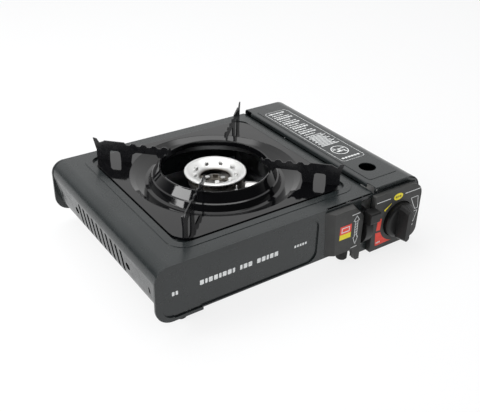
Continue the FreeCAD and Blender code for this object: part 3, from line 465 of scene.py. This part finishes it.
def knob_marks(white, red, yellow, dark_yellow):
    """Plain coloured fields, lines and outlined wedges round the knob."""
    face = Face("stove", "black_plastic", (LEFT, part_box("knob_panel")[0][1], 0), (1, 0, 0), (0, 0, 1))
    mark("print_knob_lines", face, white, [bar(268.4, 289, 69.1, 70), bar(311.4, 336.4, 69.1, 70)])
    mark("print_knob_oval", face, yellow, [oval(300.8, 68.8, 14, 8.6)])
    spans = ((296.6, 299.4), (300.3, 301.7), (302.6, 305))
    oval_bars = [bar(low, high, 67.5, 70.1, 0.4) for low, high in spans]
    mark("print_knob_oval_bar", face, dark_yellow, oval_bars, SECOND_LIFT)
    mark("print_knob_wedge", face, yellow, [stroke((281.6, 56.1), (291.6, 63.1), 2.2, 0.4)])
    mark("print_knob_red_short", face, red, [[(272.8, 32.7), (278.9, 32.1), (279.3, 47), (273.6, 48.6)]])
    shaft_u, shaft_v, radius = 305, 39, 27
    turns = [math.radians(256 - 55 * step / 8) for step in range(9)]
    arc = [(shaft_u + radius * math.cos(turn), shaft_v + radius * math.sin(turn)) for turn in turns]
    mark("print_knob_red_long", face, red, [[(274.1, 12.2)] + arc + [(272, 30)]])
    mark("print_knob_red_bars", face, white, row_of(3, 2.2, 275, 276.5, 15, 17.2, 0.3), SECOND_LIFT)
    wide_wedge = path_of([(322.4, 60), (333.4, 60.2), (335.6, 43.8), (330.9, 43.8)], 0.75)
    slim_wedge = path_of([(330.6, 40.8), (335.6, 40.4), (331.7, 26.4), (329, 29.2)], 0.7)
    mark("print_knob_scale", face, white, wide_wedge + slim_wedge + [stroke((331.9, 23), (327, 18.8), 0.9)])


def lid_marks(white):
    """A bordered field with rows of blocks, lines, a ring with a stroke and bars, and a foot row."""
    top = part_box("lid")[1][2]
    face = Face("lid", "enamelled_shell", (LEFT, FRONT, top), (1, 0, 0), (0, 1, 0))
    low_u, high_u, low_v, high_v = 281, 316, 66, 223
    mark("print_lid_border", face, white, [frame_of(low_u, high_u, low_v, high_v, 0.6, 5)])
    rows = []
    for index in range(15):
        v = high_v - 7.5 - 5.5 * index
        reach = (high_u - 4, high_u - 12, high_u - 7)[index % 3]
        tall = 3.1 if index % 3 == 0 else 2.0
        u = low_u + 4 + index % 2
        while u < reach - 2:
            length = 1.5 + 1.1 * ((index * 5 + int(u)) % 3)
            rows.append(bar(u, min(u + length, reach), v, v + tall))
            u += length + 0.8
    mark("print_lid_rows", face, white, rows)
    lines = []
    for index in range(10):
        v = 109 + 2.9 * index
        lines.append(bar(low_u + 4 + (index % 2) * 2, high_u - 4 - (index % 3) * 3, v, v + 1.5))
    mark("print_lid_lines", face, white, lines)
    badge = [(oval(298, 92, 22, 22), oval(298, 92, 19.6, 19.6)), stroke((291, 99), (305, 85), 1.4),
             bar(292, 304, 88, 91, 0.5), bar(289.5, 306.5, 94, 95.4, 0.4)]
    mark("print_lid_badge", face, white, badge)
    mark("print_lid_foot", face, white, row_of(6, 4.6, 285, 288.4, 71, 74.2, 0.5))


def print_marks():
    white = ink("white_ink", (0.78, 0.79, 0.78)).material
    red = ink("red_ink", (0.82, 0.06, 0.035)).material
    yellow = ink("yellow_ink", (0.86, 0.72, 0.02)).material
    dark_yellow = ink("ochre_ink", (0.25, 0.19, 0.02)).material
    front_marks(white)
    lever_marks(white, red, yellow)
    knob_marks(white, red, yellow, dark_yellow)
    lid_marks(white)


# Floor, background and light
BACKGROUND_RAYS = ("Is Camera Ray", "Is Glossy Ray", "Is Transmission Ray")
FLOOR_REACH = 6.0
FLOOR_GLOW = 0.8  # the floor's share of plain white for the background rays
BACKDROP_WAY = (0.42, 0.66, 0.62)  # from the object towards what it mirrors as white
LAMP_TARGET = Vector((0, 0, 0.05))  # near the middle of the object


def seen_by(tree, *rays):
    """One where a ray is of one of the kinds, and zero elsewhere."""
    light_path = tree.nodes.new("ShaderNodeLightPath")
    found = light_path.outputs[rays[0]]
    for ray in rays[1:]:
        either = tree.nodes.new("ShaderNodeMath")
        either.operation = "MAXIMUM"
        tree.links.new(found, either.inputs[0])
        tree.links.new(light_path.outputs[ray], either.inputs[1])
        found = either.outputs[0]
    return found


def smooth_step(tree, source, from_low, from_high, to_low, to_high):
    """Eases a number from one level to another as the source rises."""
    step = tree.nodes.new("ShaderNodeMapRange")
    step.interpolation_type = "SMOOTHSTEP"
    step.inputs["From Min"].default_value = from_low
    step.inputs["From Max"].default_value = from_high
    step.inputs["To Min"].default_value = to_low
    step.inputs["To Max"].default_value = to_high
    tree.links.new(source, step.inputs["Value"])
    return step.outputs["Result"]


def blend(tree, share, first, second, surface):
    """Shows the second shader for a share, and the first for the rest."""
    mix = tree.nodes.new("ShaderNodeMixShader")
    tree.links.new(share, mix.inputs["Fac"])
    tree.links.new(first.outputs[0], mix.inputs[1])
    tree.links.new(second.outputs[0], mix.inputs[2])
    tree.links.new(mix.outputs[0], surface)
    return mix


def set_stage():
    mesh = bpy.data.meshes.new("floor")
    sides = ((-1, -1), (1, -1), (1, 1), (-1, 1))
    corners = [(x * FLOOR_REACH, y * FLOOR_REACH, 0) for x, y in sides]
    mesh.from_pydata(corners, [], [(0, 1, 2, 3)])
    floor = bpy.data.objects.new("floor", mesh)
    bpy.context.collection.objects.link(floor)
    material = bpy.data.materials.new("pale_floor")
    material.use_nodes = True
    tree = material.node_tree
    tree.nodes.remove(tree.nodes["Principled BSDF"])
    matte = tree.nodes.new("ShaderNodeBsdfDiffuse")
    matte.inputs["Color"].default_value = (0.85, 0.85, 0.85, 1)
    glow = tree.nodes.new("ShaderNodeEmission")
    glow.inputs["Color"].default_value = (1, 1, 1, 1)
    share = tree.nodes.new("ShaderNodeMath")
    share.operation = "MULTIPLY"
    share.inputs[1].default_value = FLOOR_GLOW
    tree.links.new(seen_by(tree, *BACKGROUND_RAYS), share.inputs[0])
    blend(tree, share.outputs[0], matte, glow, tree.nodes["Material Output"].inputs["Surface"])
    mesh.materials.append(material)


def set_world():
    """White behind the object; mirrored, it fades to a dim room in front and has a lamp overhead."""
    world = bpy.data.worlds.new("studio")
    bpy.context.scene.world = world
    world.use_nodes = True
    tree = world.node_tree
    plain = tree.nodes["Background"]
    plain.inputs["Color"].default_value = (0.95, 0.97, 1.0, 1)
    plain.inputs["Strength"].default_value = 0.6
    white = tree.nodes.new("ShaderNodeBackground")
    white.inputs["Color"].default_value = (1, 1, 1, 1)
    way = tree.nodes.new("ShaderNodeTexCoord")
    behind = tree.nodes.new("ShaderNodeVectorMath")
    behind.operation = "DOT_PRODUCT"
    behind.inputs[1].default_value = BACKDROP_WAY
    tree.links.new(way.outputs["Generated"], behind.inputs[0])
    fade = smooth_step(tree, behind.outputs["Value"], from_low=0.2, from_high=0.78, to_low=0.03, to_high=1.0)
    height = tree.nodes.new("ShaderNodeSeparateXYZ")
    tree.links.new(way.outputs["Generated"], height.inputs[0])
    lamp = smooth_step(tree, height.outputs["Z"], from_low=0.86, from_high=0.93, to_low=0.0, to_high=2.5)
    both = tree.nodes.new("ShaderNodeMath")
    tree.links.new(fade, both.inputs[0])
    tree.links.new(lamp, both.inputs[1])
    mirrored = tree.nodes.new("ShaderNodeBackground")
    mirrored.inputs["Color"].default_value = (1, 1, 1, 1)
    tree.links.new(both.outputs[0], mirrored.inputs["Strength"])
    surface = tree.nodes["World Output"].inputs["Surface"]
    room = blend(tree, seen_by(tree, "Is Glossy Ray"), plain, mirrored, surface)
    blend(tree, seen_by(tree, "Is Camera Ray", "Is Transmission Ray"), room, white, surface)


def softbox(name, place, size, watts, mirrored=False):
    """A lamp aimed at the middle of the object, which may show in reflections."""
    lamp = bpy.data.lights.new(name, "AREA")
    lamp.shape = "RECTANGLE"
    lamp.size, lamp.size_y = size
    lamp.energy = watts
    box = bpy.data.objects.new(name, lamp)
    way = LAMP_TARGET - Vector(place)
    box.location = place
    box.rotation_euler = way.to_track_quat("-Z", "Y").to_euler()
    box.visible_glossy = mirrored
    bpy.context.collection.objects.link(box)


def set_lights():
    softbox("overhead_box", (-0.1, 0.5, 1.3), (1.3, 1.0), 9)
    softbox("left_box", (-1.2, 0.2, 0.75), (0.7, 0.7), 13, mirrored=True)
    softbox("front_box", (0.5, -1.4, 0.9), (1.0, 0.8), 3)


set_camera()
set_world()
set_stage()
set_lights()
dress_nodes()
print_marks()

bpy.context.scene.view_settings.view_transform = "Standard"
